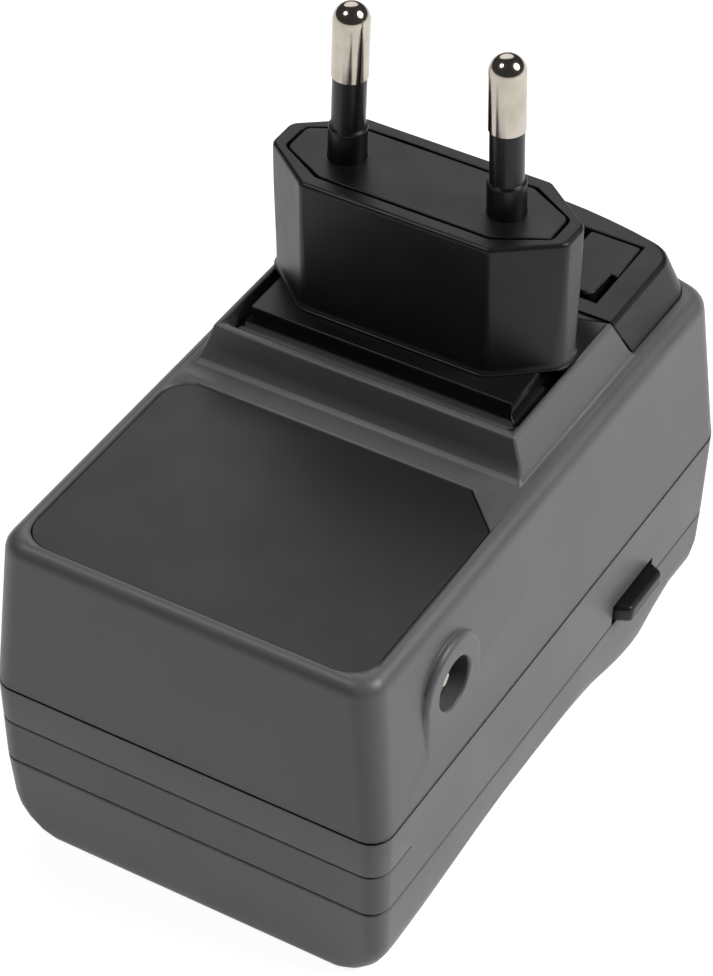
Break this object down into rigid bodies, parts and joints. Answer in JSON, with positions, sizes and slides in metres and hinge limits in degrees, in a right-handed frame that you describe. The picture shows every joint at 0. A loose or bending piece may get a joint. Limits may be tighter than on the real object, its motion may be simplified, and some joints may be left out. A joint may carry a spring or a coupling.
{
  "type": "camera battery charger",
  "caption": "Travel charger for camera batteries: drafted box on its battery side, coved platform above with a slide-off two-pin mains plug adapter, side latch and car-lead socket.",
  "frame": {"origin": "middle of the plug's engagement face, between the two pins", "axes": "+Z out of the plug along its pins, +Y along the body towards the end with the plug adapter, +X across the body towards the side with the car-lead socket and the latch"},
  "size_m": [0.0492, 0.0803, 0.0839],
  "materials": {
    "shell_plastic": "fine spark-eroded texture, satin",
    "black_plastic": "fine texture, satin",
    "panel_plastic": "smooth, semi-matt",
    "sleeve_plastic": "smooth, satin",
    "pin_nickel": "nickel plated, polished",
    "contact_brass": "stamped, plain",
    "spring_steel": "rolled, plain",
    "screw_steel": "zinc plated",
    "board_laminate": "solder-resist green",
    "ferrite": "sintered, dull",
    "coil_tape": "wound and taped",
    "bobbin_plastic": "moulded, dull",
    "capacitor_sleeve": "shrunk sleeve",
    "chip_plastic": "moulded, dull",
    "lamp_lens": "diffuse",
    "clear_rod": "moulded, clear"
  },
  "bodies": {
    "charger": {"rear_housing": "shell_plastic", "front_frame": "shell_plastic", "rating_panel": "panel_plastic", "dc_socket": "black_plastic", "dc_socket_pin": "pin_nickel", "circuit_board": "board_laminate", "transformer_core": "ferrite", "transformer_coil": "coil_tape", "transformer_bobbin": "bobbin_plastic", "input_capacitor": "capacitor_sleeve", "output_capacitor": "capacitor_sleeve", "control_chip": "chip_plastic", "status_led": "lamp_lens", "mains_contacts": "contact_brass", "transfer_contacts": "contact_brass", "latch_spring": "spring_steel", "housing_screws": "screw_steel"},
    "plug_adapter": {"adapter_base": "black_plastic", "plug_body": "black_plastic", "plug_face": "black_plastic", "pin_left": "pin_nickel", "pin_right": "pin_nickel", "sleeve_left": "sleeve_plastic", "sleeve_right": "sleeve_plastic", "adapter_contacts": "contact_brass", "catch_spring": "spring_steel"},
    "release_tab": {"release_tab": "black_plastic"},
    "battery_plate": {"battery_plate": "shell_plastic", "battery_contacts": "contact_brass", "light_pipe": "clear_rod"},
    "latch_button": {"latch_button": "black_plastic"}
  },
  "joints": [
    {"name": "adapter_slide", "type": "slide", "parent": "charger", "child": "plug_adapter", "axis": [0, 1, 0], "range_m": [0, 0.042], "deforming": ["catch_spring"]},
    {"name": "tab_press", "type": "slide", "parent": "plug_adapter", "child": "release_tab", "axis": [0, 0, -1], "range_m": [0, 0.0009], "stiffness_N_per_m": 900, "springref_m": -0.0005},
    {"name": "plate_lift", "type": "slide", "parent": "charger", "child": "battery_plate", "axis": [0, 0, -1], "range_m": [0, 0.015]},
    {"name": "latch_press", "type": "slide", "parent": "charger", "child": "latch_button", "axis": [-1, 0, 0], "range_m": [0, 0.0012], "stiffness_N_per_m": 1000, "springref_m": -0.0005, "deforming": ["latch_spring"]}
  ]
}
